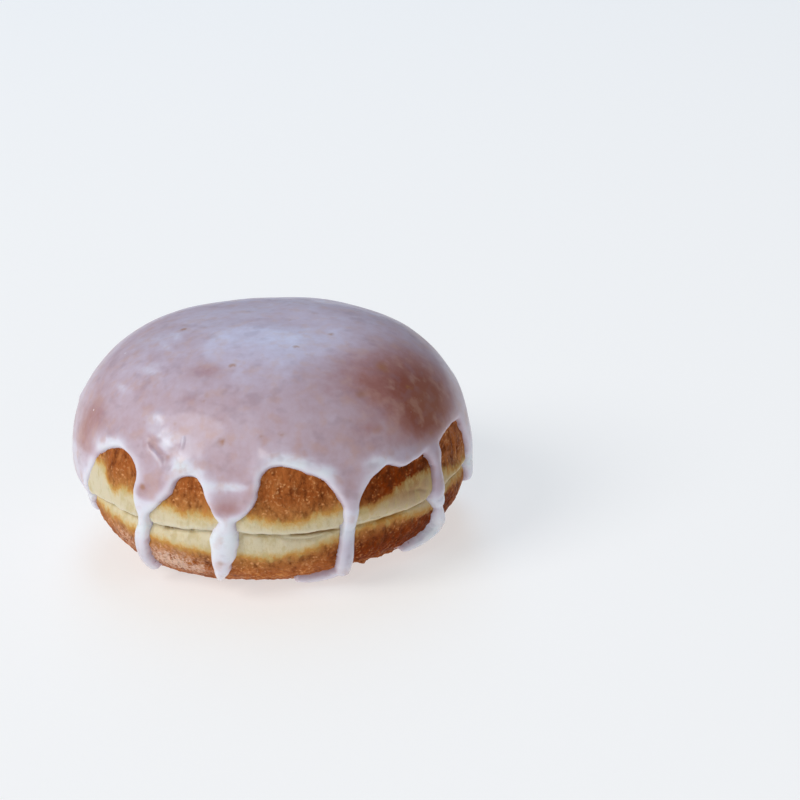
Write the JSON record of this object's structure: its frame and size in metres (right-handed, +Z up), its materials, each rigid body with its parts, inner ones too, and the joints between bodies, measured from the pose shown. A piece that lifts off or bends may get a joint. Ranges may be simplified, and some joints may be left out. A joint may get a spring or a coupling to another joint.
{
  "type": "jelly filled doughnut",
  "caption": "Round uncut filled doughnut of fried dough, a tall dome over a lower half with a crease round the side, glazed on top.",
  "frame": {"origin": "middle of the flat spot that the doughnut rests on, under the middle of its outline seen from above", "axes": "+Z up through the top of the dome; -Y towards the side with the drips that is seen from the front; +X to the right seen from the front"},
  "size_m": [0.0932, 0.0914, 0.0527],
  "materials": {
    "crust": "browned fried dough with fine blisters, and a pale unbrowned belt along the crease",
    "glaze": "set sugar glaze, a thin translucent film on the dome and white where it is thick in the drips"
  },
  "bodies": {
    "root": {"doughnut": "crust"}
  },
  "joints": []
}
